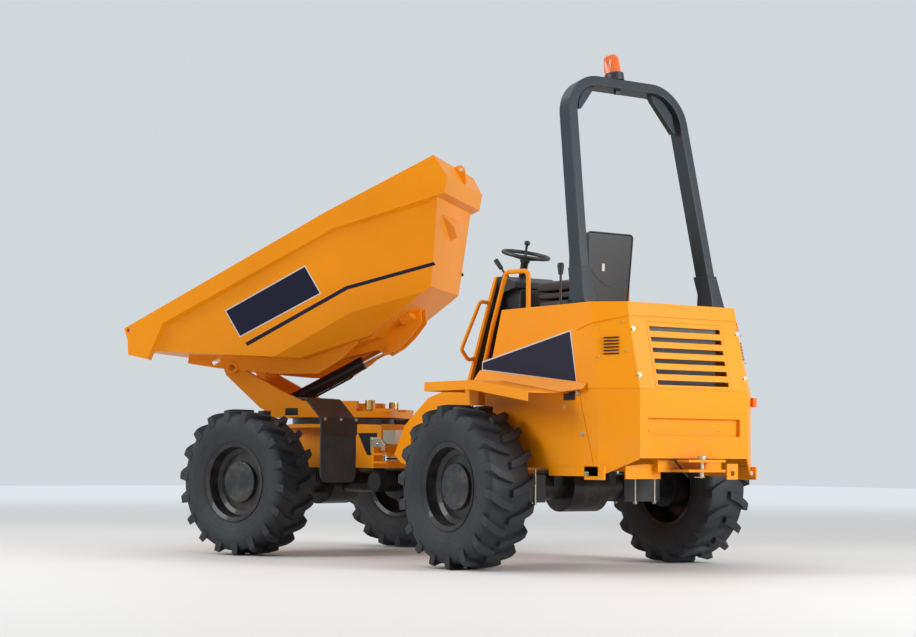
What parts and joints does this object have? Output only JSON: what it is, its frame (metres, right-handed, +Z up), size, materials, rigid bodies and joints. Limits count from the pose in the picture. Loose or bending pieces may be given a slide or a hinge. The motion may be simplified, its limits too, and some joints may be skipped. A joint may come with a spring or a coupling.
{
  "type": "articulated swivel-skip site dumper",
  "caption": "Articulated four-wheel site dumper with a swivelling, tipping skip in front, a rear engine cowl and a roll-over hoop.",
  "frame": {"origin": "on the ground under the middle of the machine's overall box, as parked", "axes": "+X forward along the rear frame, +Y to the driver's left, +Z up"},
  "size_m": [5.2466, 2.9992, 3.3047],
  "materials": {
    "orange_paint": "gloss",
    "black_paint": "satin",
    "hoop_grey": "satin",
    "cast_engine": "matt",
    "core_grey": "matt",
    "black_plastic": "matt",
    "seat_vinyl": "satin",
    "amber": "gloss",
    "zinc": "satin",
    "chrome_rod": "polished",
    "flap_rubber": "matt",
    "tyre": "matt"
  },
  "bodies": {
    "rear_chassis": {"rear_frame": "orange_paint", "rear_axle": "black_paint", "engine_block": "cast_engine", "radiator": "core_grey", "bonnet": "orange_paint", "louvre_panel": "orange_paint", "side_skirts": "orange_paint", "rear_cover": "orange_paint", "fender_left": "orange_paint", "fender_right": "orange_paint", "driver_deck": "orange_paint", "leg_shield": "orange_paint", "dashboard": "black_plastic", "steering_column": "black_paint", "seat_base": "black_paint", "seat": "seat_vinyl", "rollover_hoop": "hoop_grey", "hoop_feet": "hoop_grey", "beacon_base": "black_plastic", "beacon_lens": "amber", "grab_rails": "orange_paint", "hand_levers": "black_plastic", "tow_hitch": "orange_paint", "tow_pin": "zinc"},
    "front_chassis": {"front_frame": "orange_paint", "front_axle": "black_paint", "slew_ring": "black_paint", "mudguard_left": "black_paint", "mudguard_right": "black_paint", "mud_flap_left": "flap_rubber", "mud_flap_right": "flap_rubber", "valve_block": "zinc"},
    "turntable": {"turntable": "orange_paint", "rest_buffers": "zinc"},
    "skip": {"skip_tub": "orange_paint", "skip_underframe": "orange_paint", "lifting_eye": "orange_paint"},
    "steering_wheel": {"steering_wheel": "black_plastic"},
    "steering_ram_barrel": {"steering_ram_barrel": "black_paint"},
    "steering_ram_rod": {"steering_ram_rod": "chrome_rod"},
    "tipping_ram_barrel": {"tipping_ram_barrel": "black_paint"},
    "tipping_ram_rod": {"tipping_ram_rod": "chrome_rod"},
    "wheel_front_left": {"tyre_front_left": "tyre", "rim_front_left": "black_paint"},
    "wheel_front_right": {"tyre_front_right": "tyre", "rim_front_right": "black_paint"},
    "wheel_rear_left": {"tyre_rear_left": "tyre", "rim_rear_left": "black_paint"},
    "wheel_rear_right": {"tyre_rear_right": "tyre", "rim_rear_right": "black_paint"}
  },
  "joints": [
    {"name": "steering_pivot", "type": "hinge", "parent": "rear_chassis", "child": "front_chassis", "pos_m": [-0.12333, -0.42659, 0.7], "axis": [0, 0, 1], "range_deg": [-51.5, 18.5]},
    {"name": "skip_swivel", "type": "hinge", "parent": "front_chassis", "child": "turntable", "pos_m": [0.97932, -0.09997, 0.985], "axis": [0, 0, 1], "range_deg": [-113.6, 66.4]},
    {"name": "skip_tip", "type": "hinge", "parent": "turntable", "child": "skip", "pos_m": [1.54536, 0.37668, 1.35], "axis": [-0.6441, 0.7649, 0], "range_deg": [-21, 28]},
    {"name": "steering_wheel_turn", "type": "hinge", "parent": "rear_chassis", "child": "steering_wheel", "pos_m": [-0.81833, -0.42659, 2.084], "axis": [-0.2588, 0, 0.9659], "continuous": true},
    {"name": "steering_ram_swing", "type": "hinge", "parent": "rear_chassis", "child": "steering_ram_barrel", "pos_m": [-0.58333, -0.10659, 0.69], "axis": [0, 0, 1], "range_deg": [-26.25, 9.75]},
    {"name": "steering_ram_stroke", "type": "slide", "parent": "steering_ram_barrel", "child": "steering_ram_rod", "axis": [0.9897, 0.1435, 0], "range_m": [-0.1037, 0.2851]},
    {"name": "tipping_ram_swing", "type": "hinge", "parent": "turntable", "child": "tipping_ram_barrel", "pos_m": [1.33883, 0.20277, 1.085], "axis": [-0.6441, 0.7649, 0], "range_deg": [-23.45, 31.1]},
    {"name": "tipping_ram_stroke", "type": "slide", "parent": "tipping_ram_barrel", "child": "tipping_ram_rod", "axis": [-0.6824, -0.5746, 0.4518], "range_m": [-0.1299, 0.1726]},
    {"name": "wheel_spin_front_left", "type": "hinge", "parent": "front_chassis", "child": "wheel_front_left", "pos_m": [0.83354, 0.79707, 0.516], "axis": [-0.284, 0.9588, 0], "continuous": true},
    {"name": "wheel_spin_front_right", "type": "hinge", "parent": "front_chassis", "child": "wheel_front_right", "pos_m": [1.34562, -0.93169, 0.516], "axis": [-0.284, 0.9588, 0], "continuous": true},
    {"name": "wheel_spin_rear_left", "type": "hinge", "parent": "rear_chassis", "child": "wheel_rear_left", "pos_m": [-1.37233, 0.47491, 0.516], "axis": [0, 1, 0], "continuous": true},
    {"name": "wheel_spin_rear_right", "type": "hinge", "parent": "rear_chassis", "child": "wheel_rear_right", "pos_m": [-1.37233, -1.32809, 0.516], "axis": [0, 1, 0], "continuous": true}
  ],
  "couplings": [
    {"joint": "steering_ram_swing", "follows": "steering_pivot", "ratio": 0.5},
    {"joint": "steering_ram_stroke", "follows": "steering_pivot", "m_per_rad": -0.315},
    {"joint": "tipping_ram_swing", "follows": "skip_tip", "ratio": 1.093},
    {"joint": "tipping_ram_stroke", "follows": "skip_tip", "m_per_rad": 0.349}
  ]
}
